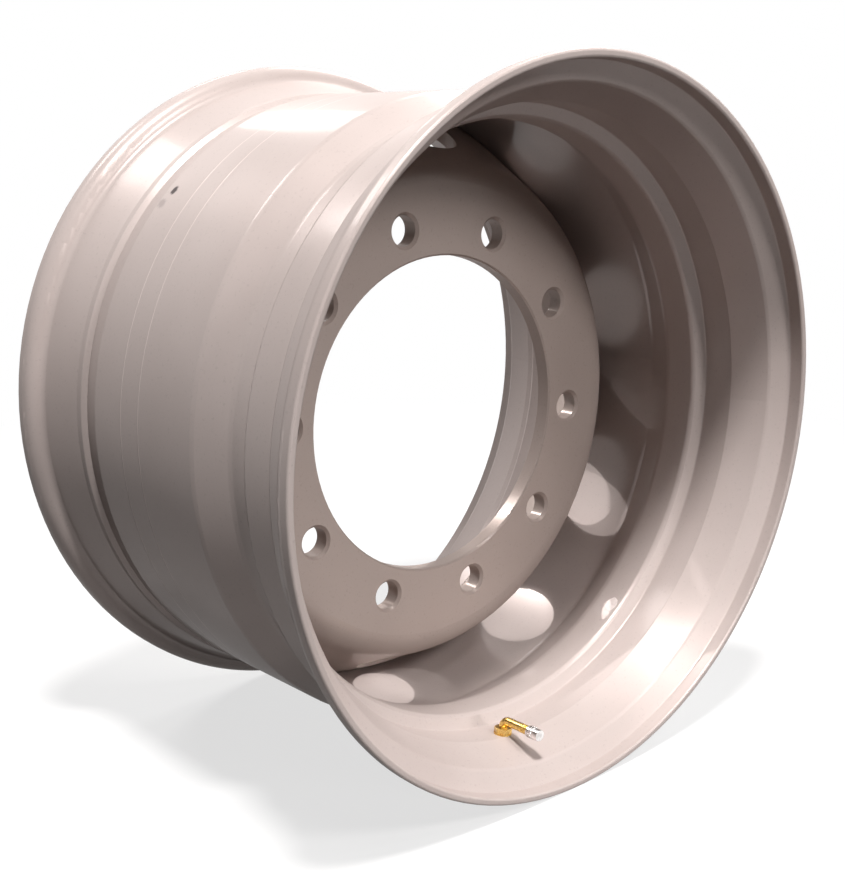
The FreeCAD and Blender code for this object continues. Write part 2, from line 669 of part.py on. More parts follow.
def make_core_body():
    ring_on_leg("core_body", {
        "top_inner": (CORE_TOP, "(Sizes.core_well / 2)"),
        "top_outer": (CORE_TOP, BARREL_RADIUS),
        "barrel_end": (SEAL_TOP, BARREL_RADIUS),
        "nose_root": (SEAL_TOP, "(Sizes.core_nose / 2)"),
        "nose_end": (NOSE_END, "(Sizes.core_nose / 2)"),
        "guide_end": (NOSE_END, "(Sizes.pin_diameter / 2 + Sizes.pin_gap)"),
        "guide_top": (SPRING_FLOOR, "(Sizes.pin_diameter / 2 + Sizes.pin_gap)"),
        "spring_floor": (SPRING_FLOOR, "(Sizes.core_well / 2)"),
    })


def make_core_seal():
    ring_on_leg("core_seal", {
        "top_inner": (SEAL_TOP, "(Sizes.core_nose / 2 + Sizes.thread_gap)"),
        "top_outer": (SEAL_TOP, BARREL_RADIUS),
        "base_outer": (SEAT_PLACE, BARREL_RADIUS),
        "base_inner": (SEAT_PLACE, "(Sizes.core_nose / 2 + Sizes.thread_gap)"),
    })


def make_core_pin():
    ring_on_leg("core_pin", {
        "end_centre": (from_tip("pin_top"), "0 mm"),
        "end_edge": (from_tip("pin_top"), "(Sizes.pin_diameter / 2)"),
        "collar_front_root": (from_tip("collar_place"), "(Sizes.pin_diameter / 2)"),
        "collar_front": (from_tip("collar_place"), "(Sizes.collar_diameter / 2)"),
        "collar_back": (COLLAR_BACK, "(Sizes.collar_diameter / 2)"),
        "collar_back_root": (COLLAR_BACK, "(Sizes.pin_diameter / 2)"),
        "foot_root": (FOOT_TOP, "(Sizes.pin_diameter / 2)"),
        "foot_edge": (FOOT_TOP, "(Sizes.pin_foot_diameter / 2)"),
        "foot_base": (f"({FOOT_TOP} + Sizes.pin_foot_height)", "(Sizes.pin_foot_diameter / 2)"),
        "foot_centre": (f"({FOOT_TOP} + Sizes.pin_foot_height)", "0 mm"),
    })


def make_pin_seal():
    ring_on_leg("core_pin_seal", {
        "top_inner": (PIN_SEAL_TOP, "(Sizes.pin_diameter / 2)"),
        "top_outer": (PIN_SEAL_TOP, "(Sizes.core_nose / 2)"),
        "base_outer": (FOOT_TOP, "(Sizes.core_nose / 2)"),
        "base_inner": (FOOT_TOP, "(Sizes.pin_diameter / 2)"),
    })


def make_spring():
    body = new_body("core_spring")
    section = new_sketch(body, "wire_section", "YZ_Plane", LEG_OFFSET)
    start = f"({COLLAR_BACK} + Sizes.spring_gap + Sizes.spring_wire / 2)"
    end = f"({SPRING_FLOOR} - Sizes.spring_gap - Sizes.spring_wire / 2)"
    circle(section, "Sizes.spring_wire / 2", start, "Sizes.spring_mean / 2")
    coil = body.newObject("PartDesign::AdditiveHelix", "coil")
    coil.Profile = section
    coil.ReferenceAxis = (section, ["H_Axis"])
    coil.Mode = "height-turns-angle"
    coil.setExpression("Height", f"{end} - {start}")
    coil.setExpression("Turns", cell("spring_turns"))
    section.Visibility = False
    doc.recompute()
    seat_beside_rim(body)


# Cap screwed over the tip of the stem, with a rubber seal inside its end
CAP_MOUTH = from_tip("cap_cover")
CAP_FACE = f"({CAP_MOUTH} - Sizes.cap_length)"
CAP_SEAL_FACE = f"({STEM_TIP} - Sizes.cap_seal_height)"


def make_cap():
    body, ring = ring_on_leg("valve_cap", {
        "end_centre": (CAP_FACE, "0 mm"),
        "end_edge": (CAP_FACE, "(Sizes.cap_diameter / 2)"),
        "mouth_outer": (CAP_MOUTH, "(Sizes.cap_diameter / 2)"),
        "mouth_inner": (CAP_MOUTH, THREAD_CLEAR),
        "floor_edge": (CAP_SEAL_FACE, THREAD_CLEAR),
        "floor_centre": (CAP_SEAL_FACE, "0 mm"),
    })
    rims = [
        f"Edge{number}"
        for number, edge in enumerate(ring.Shape.Edges, start=1)
        if isinstance(edge.Curve, Part.Circle)
        and abs(edge.Curve.Radius - sheet.cap_diameter / 2) < 0.01
    ]
    fillet = body.newObject("PartDesign::Fillet", "cap_rounding")
    fillet.Base = (ring, rims)
    fillet.setExpression("Radius", cell("cap_edge"))
    doc.recompute()


def make_cap_seal():
    clear = "(Sizes.stem_diameter / 2 - Sizes.rubber_gap)"
    ring_on_leg("cap_seal", {
        "front_inner": (CAP_SEAL_FACE, "(Sizes.core_bore / 2)"),
        "front_outer": (CAP_SEAL_FACE, clear),
        "back_outer": (STEM_TIP, clear),
        "back_inner": (STEM_TIP, "(Sizes.core_bore / 2)"),
    })


make_rim()
make_disc()
make_weld()
make_stem()
make_grommet()
make_washer()
make_nut()
make_core_body()
make_core_seal()
make_core_pin()
make_pin_seal()
make_spring()
make_cap()
make_cap_seal()
doc.recompute()

# Every feature must be sound before anything is written
for item in doc.Objects:
    if "Invalid" in item.State or "Error" in item.State:
        raise RuntimeError(f"{item.Label} failed: {item.State}")

bodies = [item for item in doc.Objects if item.TypeId == "PartDesign::Body"]
for body in bodies:
    if body.Shape.isNull() or not body.Shape.isValid():
        raise RuntimeError(f"{body.Label} has no valid shape")

os.makedirs("parts", exist_ok=True)
for body in bodies:
    body.Shape.exportStep(f"parts/{body.Label}.step")
    print(body.Label, len(body.Shape.Solids), round(body.Shape.Volume, 1))
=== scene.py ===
import json
import math

import bmesh
import bpy
from mathutils import Matrix, Vector


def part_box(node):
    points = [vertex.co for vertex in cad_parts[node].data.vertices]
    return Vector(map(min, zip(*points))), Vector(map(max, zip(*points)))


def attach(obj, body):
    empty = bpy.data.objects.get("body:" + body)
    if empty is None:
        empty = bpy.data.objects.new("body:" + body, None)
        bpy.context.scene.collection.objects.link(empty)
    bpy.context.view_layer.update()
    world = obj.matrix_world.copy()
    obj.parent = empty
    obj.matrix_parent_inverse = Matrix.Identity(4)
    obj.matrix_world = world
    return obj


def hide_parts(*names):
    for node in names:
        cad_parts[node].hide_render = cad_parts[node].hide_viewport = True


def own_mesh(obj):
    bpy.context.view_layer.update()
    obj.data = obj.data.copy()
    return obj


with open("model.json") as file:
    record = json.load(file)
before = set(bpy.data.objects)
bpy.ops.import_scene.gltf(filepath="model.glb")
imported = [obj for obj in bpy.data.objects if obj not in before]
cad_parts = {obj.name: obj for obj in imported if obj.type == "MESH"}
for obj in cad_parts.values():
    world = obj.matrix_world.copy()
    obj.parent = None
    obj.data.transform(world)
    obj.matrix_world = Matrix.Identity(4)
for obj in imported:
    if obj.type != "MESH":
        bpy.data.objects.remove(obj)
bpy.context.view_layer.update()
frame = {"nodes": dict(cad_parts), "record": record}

# The wheel turns about Y, its nut side looks towards -Y, and lengths are in metres
FLOOR_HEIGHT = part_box("rim")[0].z

# Camera: its place beside the wheel, its aim and its lens
CAMERA_PLACE = (-0.7705, -0.8683, 0.2407)
CAMERA_AZIMUTH = math.radians(-41.932)
CAMERA_ELEVATION = math.radians(18.977)
CAMERA_LENS = 53.62
CAMERA_SHIFT = (-0.0162, 0.1636)


def make_camera():
    camera = bpy.data.objects.new("camera", bpy.data.cameras.new("camera"))
    bpy.context.scene.collection.objects.link(camera)
    camera.location = CAMERA_PLACE
    camera.rotation_euler = (math.pi / 2 - CAMERA_ELEVATION, 0, CAMERA_AZIMUTH)
    camera.data.sensor_width = 36
    camera.data.lens = CAMERA_LENS
    camera.data.shift_x, camera.data.shift_y = CAMERA_SHIFT
    camera.data.clip_start = 0.02
    camera.data.clip_end = 60
    bpy.context.scene.camera = camera


# Light: soft boxes around the wheel, narrow beams from behind through the hand holes, and two
# wide soft beams, one on the lower half of the disc and one into the lower inside of the rim
WARM = (1, 0.975, 0.96)
COOL = (1, 0.98, 0.97)
BEAM_LENGTH = 2.4
WIDE_SOFTNESS = 0.3
HAND_HOLE_RADIUS = 0.2401
HAND_HOLE_PLACE = 0.0359
DISC_TURN = math.radians(4.2)
STUD_COUNT = 10


def hang(name, lamp, place, target, colour):
    lamp.color = colour
    holder = bpy.data.objects.new(name, lamp)
    bpy.context.scene.collection.objects.link(holder)
    holder.location = place
    aim = Vector(target) - Vector(place)
    holder.rotation_euler = aim.to_track_quat("-Z", "Y").to_euler()


def make_box(name, place, size, level, colour):
    """A soft box whose light on the wheel's middle has this level, where 1 is plain."""
    lamp = bpy.data.lights.new(name, "AREA")
    lamp.shape = "DISK"
    lamp.size = size
    lamp.energy = level * (math.pi * Vector(place).length) ** 2
    hang(name, lamp, place, (0, 0, 0), colour)


def hand_hole(number):
    """Centre of a hand hole; the first one is at the top and they count clockwise."""
    angle = math.pi / 2 - DISC_TURN - number * 2 * math.pi / STUD_COUNT
    return Vector((
        HAND_HOLE_RADIUS * math.cos(angle), HAND_HOLE_PLACE, HAND_HOLE_RADIUS * math.sin(angle),
    ))


def make_beam(name, target, direction, reach, level, softness=0.02, blend=0.5):
    """A beam from a direction that covers a reach around its target, where level 1 is plain."""
    lamp = bpy.data.lights.new(name, "SPOT")
    lamp.shadow_soft_size = softness
    lamp.spot_size = 2 * math.atan(reach / BEAM_LENGTH)
    lamp.spot_blend = blend
    lamp.energy = level * (2 * math.pi * BEAM_LENGTH) ** 2
    start = Vector(target) + BEAM_LENGTH * Vector(direction).normalized()
    hang(name, lamp, start, target, COOL)


def make_lights():
    make_box("box_above", (-0.75, -1.05, 3.7), size=0.6, level=1.4, colour=WARM)
    make_box("box_front", (0.35, -2.3, 1.6), size=0.6, level=0.5, colour=WARM)
    make_box("box_behind_left", (-0.61, 1.91, 2.24), size=0.9, level=0.28, colour=COOL)
    make_box("box_behind_right", (1.9, 1.35, 1.95), size=1.2, level=0.3, colour=COOL)
    make_box("box_behind", (0.95, 2.1, 1.4), size=0.5, level=0.06, colour=COOL)
    lower_right = (hand_hole(3) + hand_hole(4)) / 2
    make_beam(
        "beam_lower_right", lower_right, (-0.204, 0.636, 0.745), reach=0.17, level=0.55,
    )
    make_beam("beam_right", hand_hole(3), (-0.42, 0.40, 0.81), reach=0.08, level=0.7)
    make_beam("beam_lower_left", hand_hole(5), (0.631, 0.446, 0.635), reach=0.13, level=0.9)
    make_beam(
        "beam_disc", (-0.1, -0.016, -0.28), (0.22, -0.96, 0.14), reach=0.28, level=0.75,
        softness=WIDE_SOFTNESS, blend=1,
    )
    make_beam(
        "beam_inside", (0.1, -0.19, -0.24), (0.1, -0.5, 0.85), reach=0.25, level=0.42,
        softness=WIDE_SOFTNESS, blend=1,
    )


# Materials
def new_material(name):
    material = bpy.data.materials.new(name)
    material.use_nodes = True
    nodes = material.node_tree.nodes
    shader = nodes["Principled BSDF"]
    return material, nodes, material.node_tree.links, shader


def seen_directly(nodes, links):
    """One for rays that come straight, mirrored or refracted to the eye."""
    path = nodes.new("ShaderNodeLightPath")
    first = nodes.new("ShaderNodeMath")
    first.operation = "MAXIMUM"
    second = nodes.new("ShaderNodeMath")
    second.operation = "MAXIMUM"
    links.new(path.outputs["Is Camera Ray"], first.inputs[0])
    links.new(path.outputs["Is Glossy Ray"], first.inputs[1])
    links.new(first.outputs[0], second.inputs[0])
    links.new(path.outputs["Is Transmission Ray"], second.inputs[1])
    return second.outputs[0]


# World: white to the eye and in what the paint mirrors, and a faint warm light otherwise
AMBIENT_COLOUR = (1, 0.88, 0.83, 1)
AMBIENT_STRENGTH = 0.01
WHITE = (1, 1, 1, 1)


def make_world():
    world = bpy.data.worlds.new("studio")
    bpy.context.scene.world = world
    world.use_nodes = True
    nodes, links = world.node_tree.nodes, world.node_tree.links
    ambient = nodes["Background"]
    ambient.inputs["Color"].default_value = AMBIENT_COLOUR
    ambient.inputs["Strength"].default_value = AMBIENT_STRENGTH
    backdrop = nodes.new("ShaderNodeBackground")
    backdrop.inputs["Color"].default_value = WHITE
    backdrop.inputs["Strength"].default_value = 1
    mix = nodes.new("ShaderNodeMixShader")
    links.new(seen_directly(nodes, links), mix.inputs[0])
    links.new(ambient.outputs[0], mix.inputs[1])
    links.new(backdrop.outputs[0], mix.inputs[2])
    links.new(mix.outputs[0], nodes["World Output"].inputs[0])


# Floor: pale to the eye, with the wheel's shadow on it, and dull in the light that it throws
# back; the glow is its share of plain white near the wheel, and further out it is all white
FLOOR_RADIUS = 14
FLOOR_DULL = (0.03, 0.025, 0.023, 1)
FLOOR_PALE = (0.9, 0.9, 0.9, 1)
FLOOR_GLOW = 0.7
FLOOR_FADE_START = 0.5
FLOOR_FADE_END = 1.6


def make_floor():
    mesh = bpy.data.meshes.new("floor")
    shape = bmesh.new()
    bmesh.ops.create_circle(shape, cap_ends=True, segments=64, radius=FLOOR_RADIUS)
    shape.to_mesh(mesh)
    shape.free()
    mesh.transform(Matrix.Translation((0, 0, FLOOR_HEIGHT)))
    floor = bpy.data.objects.new("floor", mesh)
    bpy.context.scene.collection.objects.link(floor)
    material, nodes, links, shader = new_material("floor_sheet")
    shader.inputs["Base Color"].default_value = FLOOR_DULL
    shader.inputs["Roughness"].default_value = 0.9
    pale = nodes.new("ShaderNodeBsdfDiffuse")
    pale.inputs["Color"].default_value = FLOOR_PALE
    white = nodes.new("ShaderNodeEmission")
    white.inputs["Strength"].default_value = 1
    look = nodes.new("ShaderNodeMixShader")
    coordinates = nodes.new("ShaderNodeTexCoord")
    away = nodes.new("ShaderNodeVectorMath")
    away.operation = "LENGTH"
    links.new(coordinates.outputs["Object"], away.inputs[0])
    fade = mapped(
        nodes, links, away.outputs["Value"], FLOOR_FADE_START, FLOOR_FADE_END, FLOOR_GLOW, 1,
    )
    links.new(fade, look.inputs[0])
    links.new(pale.outputs[0], look.inputs[1])
    links.new(white.outputs[0], look.inputs[2])
    mix = nodes.new("ShaderNodeMixShader")
    links.new(seen_directly(nodes, links), mix.inputs[0])
    links.new(shader.outputs[0], mix.inputs[1])
    links.new(look.outputs[0], mix.inputs[2])
    links.new(mix.outputs[0], nodes["Material Output"].inputs[0])
    mesh.materials.append(material)


def object_noise(nodes, links, scale, detail):
    """Noise on the object's own coordinates."""
    coordinates = nodes.new("ShaderNodeTexCoord")
    noise = nodes.new("ShaderNodeTexNoise")
    noise.inputs["Scale"].default_value = scale
    noise.inputs["Detail"].default_value = detail
    links.new(coordinates.outputs["Object"], noise.inputs["Vector"])
    return noise.outputs["Fac"]


def mapped(nodes, links, value, low, high, new_low, new_high):
    """Stretches a value's range to a new one and holds it between the new ends."""
    ranged = nodes.new("ShaderNodeMapRange")
    ranged.inputs["From Min"].default_value = low
    ranged.inputs["From Max"].default_value = high
    ranged.inputs["To Min"].default_value = new_low
    ranged.inputs["To Max"].default_value = new_high
    links.new(value, ranged.inputs["Value"])
    return ranged.outputs[0]


def colour_mix(nodes, links, factor, first, second):
    """Mixes two colours, each a tuple or a socket, by a factor socket."""
    mix = nodes.new("ShaderNodeMix")
    mix.data_type = "RGBA"
    links.new(factor, mix.inputs[0])
    for socket, colour in ((mix.inputs[6], first), (mix.inputs[7], second)):
        if isinstance(colour, tuple):
            socket.default_value = (*colour, 1)
        else:
            links.new(colour, socket)
    return mix.outputs[2]


def math_node(nodes, links, operation, first, second=None):
    """One step of arithmetic on one or two values, each a number or a socket."""
    node = nodes.new("ShaderNodeMath")
    node.operation = operation
    for socket, value in ((node.inputs[0], first), (node.inputs[1], second)):
        if value is None:
            continue
        if isinstance(value, (int, float)):
            socket.default_value = value
        else:
            links.new(value, socket)
    return node.outputs[0]


def add_bump(nodes, links, height, strength, distance, under=None):
    bump = nodes.new("ShaderNodeBump")
    bump.inputs["Strength"].default_value = strength
    bump.inputs["Distance"].default_value = distance
    links.new(height, bump.inputs["Height"])
    if under is not None:
        links.new(under, bump.inputs["Normal"])
    return bump.outputs[0]


# Paint: silver grey with a little metal and a thin clear coat, a fine orange peel, faint clouds
# and a little dust
RIM_LIGHT = (0.49, 0.426, 0.406)
RIM_DARK = (0.43, 0.367, 0.347)
DISC_LIGHT = (0.42, 0.35, 0.32)
DISC_DARK = (0.37, 0.304, 0.276)
CLOUD_SCALE = 5
SPECK_SCALE = 420
SPECK_STRENGTH = 0.2
SPECK_SHADE = 0.6
GLOSS_SCALE = 14
PAINT_SMOOTH = 0.28
PAINT_DULL = 0.38
PAINT_METAL = 0.14
CLEAR_COAT = 0.15
CLEAR_COAT_ROUGHNESS = 0.1
PEEL_SCALE = 500
PEEL_STRENGTH = 0.05
PEEL_HEIGHT = 0.0006


def paint(name, light, dark):
    material, nodes, links, shader = new_material(name)
    clouds = object_noise(nodes, links, CLOUD_SCALE, 4)
    clouds = mapped(nodes, links, clouds, 0.3, 0.7, 0, 1)
    colour = colour_mix(nodes, links, clouds, light, dark)
    specks = object_noise(nodes, links, SPECK_SCALE, 2)
    specks = mapped(nodes, links, specks, 0.62, 0.72, 0, SPECK_STRENGTH)
    colour = colour_mix(nodes, links, specks, colour, tuple(SPECK_SHADE * c for c in dark))
    links.new(colour, shader.inputs["Base Color"])
    gloss = object_noise(nodes, links, GLOSS_SCALE, 5)
    gloss = mapped(nodes, links, gloss, 0.3, 0.7, PAINT_SMOOTH, PAINT_DULL)
    links.new(gloss, shader.inputs["Roughness"])
    shader.inputs["Metallic"].default_value = PAINT_METAL
    shader.inputs["Specular IOR Level"].default_value = 0
    shader.inputs["Coat Weight"].default_value = CLEAR_COAT
    shader.inputs["Coat Roughness"].default_value = CLEAR_COAT_ROUGHNESS
    peel = object_noise(nodes, links, PEEL_SCALE, 2)
    normal = add_bump(nodes, links, peel, PEEL_STRENGTH, PEEL_HEIGHT)
    links.new(normal, shader.inputs["Normal"])
    return material, nodes, links, shader, colour, normal


# Marks on the outside of the rim's leg: two fine rolled lines around it, raised a little by a
# bump and painted lighter as a painted highlight, and a dark scuff with a faint tail on its
# upper left; what lies beyond the outside radius is outside
OUTSIDE_RADIUS = 0.270
ROLLED_LINES = (0.038, 0.065)
ROLLED_LINE_HALF_WIDTH = 0.0009
ROLLED_LINE_PAINTED_HIGHLIGHT = 1.35
ROLLED_LINE_BUMP = 0.6
ROLLED_LINE_HEIGHT = 0.0004
LEG_OUTER_RADIUS = 0.2735
SCUFF_PLACE = 0.097
SCUFF_ANGLE = math.radians(134.2)
SCUFF_REACH = 0.005
SCUFF_TAIL_PLACE = 0.101
SCUFF_TAIL_ANGLE = math.radians(137.1)
SCUFF_TAIL_REACH = 0.006
SCUFF_TAIL_STRENGTH = 0.3
SCUFF_COLOUR = (0.09, 0.075, 0.075)
SCUFF_EDGE_START = 0.55
SCUFF_EDGE_SCALE = 260


def near_point(nodes, links, position, point, reach):
    """One at the point, falling to nothing at the reach, with a ragged edge."""
    ragged = object_noise(nodes, links, SCUFF_EDGE_SCALE, 3)
    distance = nodes.new("ShaderNodeVectorMath")
    distance.operation = "DISTANCE"
    links.new(position, distance.inputs[0])
    distance.inputs[1].default_value = point
    far = math_node(nodes, links, "DIVIDE", distance.outputs["Value"], reach)
    far = math_node(nodes, links, "ADD", far, math_node(nodes, links, "SUBTRACT", ragged, 0.5))
    return mapped(nodes, links, far, SCUFF_EDGE_START, 1, 1, 0)


def on_leg(place, angle):
    """A point on the outside of the leg, at a place along the axle and an angle around it."""
    return (LEG_OUTER_RADIUS * math.cos(angle), place, LEG_OUTER_RADIUS * math.sin(angle))


def rim_paint():
    material, nodes, links, shader, colour, normal = paint("rim_paint", RIM_LIGHT, RIM_DARK)
    coordinates = nodes.new("ShaderNodeTexCoord")
    position = coordinates.outputs["Object"]
    parts = nodes.new("ShaderNodeSeparateXYZ")
    links.new(position, parts.inputs[0])
    across = math_node(nodes, links, "POWER", parts.outputs["X"], 2)
    up = math_node(nodes, links, "POWER", parts.outputs["Z"], 2)
    radius = math_node(nodes, links, "SQRT", math_node(nodes, links, "ADD", across, up))
    outside = math_node(nodes, links, "GREATER_THAN", radius, OUTSIDE_RADIUS)
    line = None
    for place in ROLLED_LINES:
        off = math_node(nodes, links, "SUBTRACT", parts.outputs["Y"], place)
        off = math_node(nodes, links, "ABSOLUTE", off)
        near = mapped(nodes, links, off, 0, ROLLED_LINE_HALF_WIDTH, 1, 0)
        line = near if line is None else math_node(nodes, links, "MAXIMUM", line, near)
    line = math_node(nodes, links, "MULTIPLY", line, outside)
    mark_centre = on_leg(SCUFF_PLACE, SCUFF_ANGLE)
    mark = near_point(nodes, links, position, mark_centre, SCUFF_REACH)
    tail_centre = on_leg(SCUFF_TAIL_PLACE, SCUFF_TAIL_ANGLE)
    tail = near_point(nodes, links, position, tail_centre, SCUFF_TAIL_REACH)
    tail = math_node(nodes, links, "MULTIPLY", tail, SCUFF_TAIL_STRENGTH)
    scuff = math_node(nodes, links, "MAXIMUM", mark, tail)
    # The rolled lines' lighter colour is a painted highlight along them
    painted_highlight = tuple(ROLLED_LINE_PAINTED_HIGHLIGHT * c for c in RIM_LIGHT)
    colour = colour_mix(nodes, links, line, colour, painted_highlight)
    colour = colour_mix(nodes, links, scuff, colour, SCUFF_COLOUR)
    links.new(colour, shader.inputs["Base Color"])
    normal = add_bump(nodes, links, line, ROLLED_LINE_BUMP, ROLLED_LINE_HEIGHT, normal)
    links.new(normal, shader.inputs["Normal"])
    return material


# Metals: each one's clean colour, its tarnished colour and its least roughness
BRASS = ((0.86, 0.60, 0.20), (0.62, 0.40, 0.12), 0.18)
CAP_PLATE = ((0.82, 0.80, 0.79), (0.60, 0.57, 0.56), 0.12)
SPRING_STEEL = ((0.62, 0.62, 0.63), (0.45, 0.45, 0.46), 0.25)
TARNISH_SCALE = 220
METAL_GLOSS_SCALE = 700
METAL_GLOSS_SPREAD = 0.14
TURNING_SCALE = 2600
TURNING_STRENGTH = 0.08
TURNING_HEIGHT = 0.0001


def metal(name, colour, dark, roughness):
    """Bare metal with a little tarnish and fine turning marks."""
    material, nodes, links, shader = new_material(name)
    tarnish = object_noise(nodes, links, TARNISH_SCALE, 4)
    tarnish = mapped(nodes, links, tarnish, 0.35, 0.7, 0, 1)
    links.new(colour_mix(nodes, links, tarnish, colour, dark), shader.inputs["Base Color"])
    shader.inputs["Metallic"].default_value = 1
    gloss = object_noise(nodes, links, METAL_GLOSS_SCALE, 3)
    gloss = mapped(nodes, links, gloss, 0.3, 0.7, roughness, roughness + METAL_GLOSS_SPREAD)
    links.new(gloss, shader.inputs["Roughness"])
    turning = object_noise(nodes, links, TURNING_SCALE, 1)
    normal = add_bump(nodes, links, turning, TURNING_STRENGTH, TURNING_HEIGHT)
    links.new(normal, shader.inputs["Normal"])
    return material


# Rubber: black with a faint grey bloom
RUBBER_BLACK = (0.02, 0.02, 0.02)
RUBBER_BLOOM = (0.05, 0.048, 0.046)
RUBBER_ROUGHNESS = 0.75


def rubber():
    material, nodes, links, shader = new_material("black_rubber")
    bloom = mapped(nodes, links, object_noise(nodes, links, 300, 4), 0.4, 0.7, 0, 1)
    colour = colour_mix(nodes, links, bloom, RUBBER_BLACK, RUBBER_BLOOM)
    links.new(colour, shader.inputs["Base Color"])
    shader.inputs["Roughness"].default_value = RUBBER_ROUGHNESS
    return material


# Spot paint: pale, and worn in places
SPOT_PALE = (0.70, 0.62, 0.60)
SPOT_WORN = (0.56, 0.49, 0.47)
SPOT_ROUGHNESS = 0.5


def spot_paint():
    material, nodes, links, shader = new_material("spot_paint")
    worn = mapped(nodes, links, object_noise(nodes, links, 350, 4), 0.4, 0.75, 0, 1)
    colour = colour_mix(nodes, links, worn, SPOT_PALE, SPOT_WORN)
    links.new(colour, shader.inputs["Base Color"])
    shader.inputs["Roughness"].default_value = SPOT_ROUGHNESS
    return material


# The material of each slot in the record
MATERIALS = {
    "rim_paint": rim_paint(),
    "disc_paint": paint("disc_paint", DISC_LIGHT, DISC_DARK)[0],
    "brass": metal("turned_brass", *BRASS),
    "rubber": rubber(),
    "cap_plate": metal("plated_cap", *CAP_PLATE),
    "spring_steel": metal("spring_wire", *SPRING_STEEL),
}


def dress_nodes():
    """Gives every CAD node the material of its slot."""
    for part in frame["record"]["subparts"]:
        node = frame["nodes"][part["node"]]
        node.data.materials.clear()
        node.data.materials.append(MATERIALS[part["material_slot"]])


# Valve places, on a bench where the hole's axis is Z and the leg points along -Y
VALVE_TURN = math.radians(186.3)
VALVE_PLACE = -0.130
LEG_AXIS_RADIUS = 0.2508
STEM_RADIUS = 0.004
STEM_TIP = -0.042
CAP_MOUTH = STEM_TIP + 0.0115
CAP_RADIUS = 0.0052
BENCH_TO_WHEEL = Matrix.Translation((0, VALVE_PLACE, 0)) @ Matrix.Rotation(VALVE_TURN, 4, "Y")


# Helpers for the geometry node trees
def new_tree(name, inputs):
    """A tree with named number inputs; returns it and its group input and output."""
    tree = bpy.data.node_groups.new(name, "GeometryNodeTree")
    tree.interface.new_socket("Geometry", in_out="OUTPUT", socket_type="NodeSocketGeometry")
    for label, value in inputs.items():
        kind = "NodeSocketInt" if isinstance(value, int) else "NodeSocketFloat"
        tree.interface.new_socket(label, in_out="INPUT", socket_type=kind)
    return tree, tree.nodes.new("NodeGroupInput"), tree.nodes.new("NodeGroupOutput")


def tree_math(tree, operation, first, second=None):
    """The same arithmetic in a geometry node tree."""
    node = tree.nodes.new("ShaderNodeMath")
    node.operation = operation
    for socket, value in ((node.inputs[0], first), (node.inputs[1], second)):
        if value is None:
            continue
        if isinstance(value, (int, float)):
            socket.default_value = value
        else:
            tree.links.new(value, socket)
    return node.outputs[0]


def end_tree(tree, last, output, material):
    """Makes a tree's copies real, gives them a material and ends the tree."""
    realize = tree.nodes.new("GeometryNodeRealizeInstances")
    finish = tree.nodes.new("GeometryNodeSetMaterial")
    finish.inputs["Material"].default_value = material
    tree.links.new(last, realize.inputs[0])
    tree.links.new(realize.outputs[0], finish.inputs[0])
    tree.links.new(finish.outputs[0], output.inputs[0])


def grow(name, tree, inputs, place=Matrix.Identity(4)):
    """Runs a tree with its inputs set, and returns the result as a plain mesh piece."""
    seed_object = bpy.data.objects.new(name + "_seed", bpy.data.meshes.new(name + "_seed"))
    bpy.context.scene.collection.objects.link(seed_object)
    modifier = seed_object.modifiers.new("nodes", "NODES")
    modifier.node_group = tree
    for item in tree.interface.items_tree:
        if item.in_out == "INPUT" and item.name in inputs:
            modifier[item.identifier] = inputs[item.name]
    depsgraph = bpy.context.evaluated_depsgraph_get()
    mesh = bpy.data.meshes.new_from_object(seed_object.evaluated_get(depsgraph))
    bpy.data.objects.remove(seed_object)
    mesh.transform(place)
    for polygon in mesh.polygons:
        polygon.use_smooth = True
    piece = bpy.data.objects.new(name, mesh)
    bpy.context.scene.collection.objects.link(piece)
    return piece


def ring_tree(name, inputs, make_bead, material):
    """Sets copies of a bead around Y; the bead's own X points away from the axle."""
    tree, given, output = new_tree(name, inputs)
    nodes, links = tree.nodes, tree.links
    index = nodes.new("GeometryNodeInputIndex")
    turn = tree_math(tree, "DIVIDE", index.outputs[0], given.outputs["Count"])
    turn = tree_math(tree, "MULTIPLY", turn, 2 * math.pi)
    position = nodes.new("ShaderNodeCombineXYZ")
    for axis, operation in (("X", "COSINE"), ("Z", "SINE")):
        wave = tree_math(tree, operation, turn)
        links.new(
            tree_math(tree, "MULTIPLY", wave, given.outputs["Radius"]), position.inputs[axis]
        )
    links.new(given.outputs["Place"], position.inputs["Y"])
    points = nodes.new("GeometryNodePoints")
    links.new(given.outputs["Count"], points.inputs["Count"])
    links.new(position.outputs[0], points.inputs["Position"])
    rotation = nodes.new("ShaderNodeCombineXYZ")
    links.new(tree_math(tree, "MULTIPLY", turn, -1), rotation.inputs["Y"])
    copies = nodes.new("GeometryNodeInstanceOnPoints")
    links.new(points.outputs[0], copies.inputs["Points"])
    links.new(make_bead(tree), copies.inputs["Instance"])
    links.new(rotation.outputs[0], copies.inputs["Rotation"])
    end_tree(tree, copies.outputs[0], output, material)
    return tree


# Weld: overlapping scales along the fillet between the disc's lip and the rim
WELD_RADIUS = 0.2628
WELD_PLACE = 0.1021
WELD_SCALES = 380
WELD_SCALE_HALF_SIZE = (0.0058, 0.0016, 0.0034)
WELD_SCALE_TURN = (0.22, 0, math.radians(45))
WELD_SCALE_SIDES = 14
WELD_SCALE_RINGS = 8


def weld_scale(tree):
    ball = tree.nodes.new("GeometryNodeMeshUVSphere")
    ball.inputs["Segments"].default_value = WELD_SCALE_SIDES
    ball.inputs["Rings"].default_value = WELD_SCALE_RINGS
    ball.inputs["Radius"].default_value = 1
    shape = tree.nodes.new("GeometryNodeTransform")
    shape.inputs["Scale"].default_value = WELD_SCALE_HALF_SIZE
    shape.inputs["Rotation"].default_value = WELD_SCALE_TURN
    tree.links.new(ball.outputs[0], shape.inputs[0])
    return shape.outputs[0]


